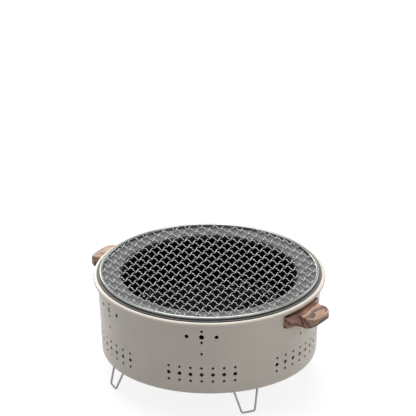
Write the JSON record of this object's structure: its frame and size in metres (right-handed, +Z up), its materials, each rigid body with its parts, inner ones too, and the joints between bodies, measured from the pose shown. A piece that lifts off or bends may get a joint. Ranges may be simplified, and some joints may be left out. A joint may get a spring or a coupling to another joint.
{
  "type": "portable charcoal grill",
  "caption": "Round tabletop charcoal grill: perforated steel shell with wood handles and folding wire legs, hung charcoal pan and lift-off wire net grate.",
  "frame": {"origin": "on the ground under the centre of the grill, legs out", "axes": "+Z up, handles along X, plain front towards -Y"},
  "size_m": [0.3716, 0.3168, 0.1526],
  "materials": {
    "shell_enamel": "satin cream coating",
    "black_enamel": "gloss black enamel",
    "grate_hoop": "plated steel",
    "grate_wire": "plated steel wire",
    "wood": "oiled figured wood",
    "fastener": "zinc plated",
    "leg_wire": "bright drawn wire",
    "bracket_steel": "zinc plated sheet",
    "rivet": "satin"
  },
  "bodies": {
    "shell": {"outer_shell": "shell_enamel", "handle_right": "wood", "handle_screws_right": "fastener", "handle_washers_right": "fastener", "handle_left": "wood", "handle_screws_left": "fastener", "handle_washers_left": "fastener", "leg_bracket_front_right": "bracket_steel", "leg_rivets_front_right": "rivet", "leg_bracket_back_right": "bracket_steel", "leg_rivets_back_right": "rivet", "leg_bracket_back_left": "bracket_steel", "leg_rivets_back_left": "rivet", "leg_bracket_front_left": "bracket_steel", "leg_rivets_front_left": "rivet"},
    "pan": {"charcoal_pan": "black_enamel"},
    "grate": {"grate_hoop": "grate_hoop", "grate_mesh": "grate_wire"},
    "leg_front_right": {"leg_front_right": "leg_wire"},
    "leg_back_right": {"leg_back_right": "leg_wire"},
    "leg_back_left": {"leg_back_left": "leg_wire"},
    "leg_front_left": {"leg_front_left": "leg_wire"}
  },
  "joints": [
    {"name": "pan_lift", "type": "slide", "parent": "shell", "child": "pan", "axis": [0, 0, 1], "range_m": [0, 0.066]},
    {"name": "grate_lift", "type": "slide", "parent": "pan", "child": "grate", "axis": [0, 0, 1], "range_m": [0, 0.066]},
    {"name": "fold_front_right", "type": "hinge", "parent": "shell", "child": "leg_front_right", "pos_m": [0.1086, -0.07325, 0.0326], "axis": [-0.5592, -0.829, 0], "range_deg": [-107.77, 0]},
    {"name": "fold_back_right", "type": "hinge", "parent": "shell", "child": "leg_back_right", "pos_m": [0.07325, 0.1086, 0.0326], "axis": [0.829, -0.5592, 0], "range_deg": [-107.77, 0]},
    {"name": "fold_back_left", "type": "hinge", "parent": "shell", "child": "leg_back_left", "pos_m": [-0.1086, 0.07325, 0.0326], "axis": [0.5592, 0.829, 0], "range_deg": [-107.77, 0]},
    {"name": "fold_front_left", "type": "hinge", "parent": "shell", "child": "leg_front_left", "pos_m": [-0.07325, -0.1086, 0.0326], "axis": [-0.829, 0.5592, 0], "range_deg": [-107.77, 0]}
  ]
}
